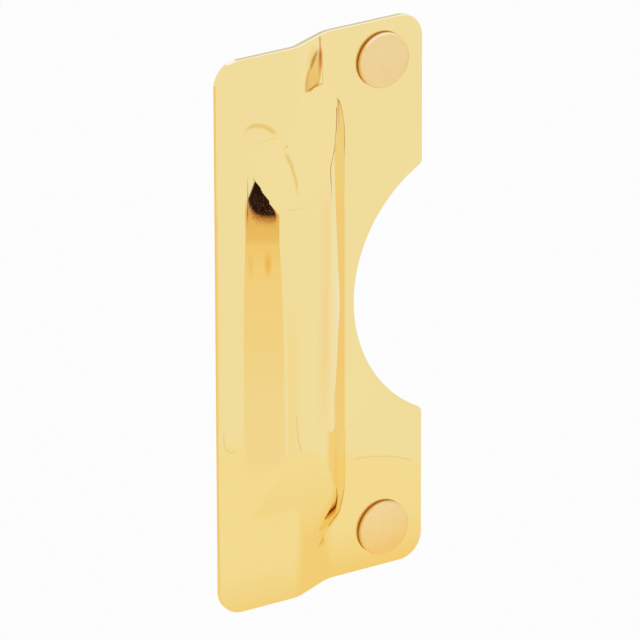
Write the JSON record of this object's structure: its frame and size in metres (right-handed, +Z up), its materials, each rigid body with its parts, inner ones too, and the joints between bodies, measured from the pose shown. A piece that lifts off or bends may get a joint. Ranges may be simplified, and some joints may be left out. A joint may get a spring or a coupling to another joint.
{
  "type": "door latch shield",
  "caption": "Pressed plate that bridges an outswing door and its frame: joggle, bulge over the latch, half-moon knob notch and carriage bolts through the door.",
  "frame": {"origin": "midway between the two bolt axes, on the back face of the door flange, which lies on the door", "axes": "+Z up along the plate's length, the front faces -Y, and +X is to the right seen from the front, towards the knob notch"},
  "size_m": [0.0762, 0.0314, 0.1778],
  "materials": {
    "plated_steel": "polished",
    "plated_bolt": "satin"
  },
  "bodies": {
    "root": {"shield_plate": "plated_steel", "upper_bolt": "plated_bolt", "lower_bolt": "plated_bolt"}
  },
  "joints": []
}
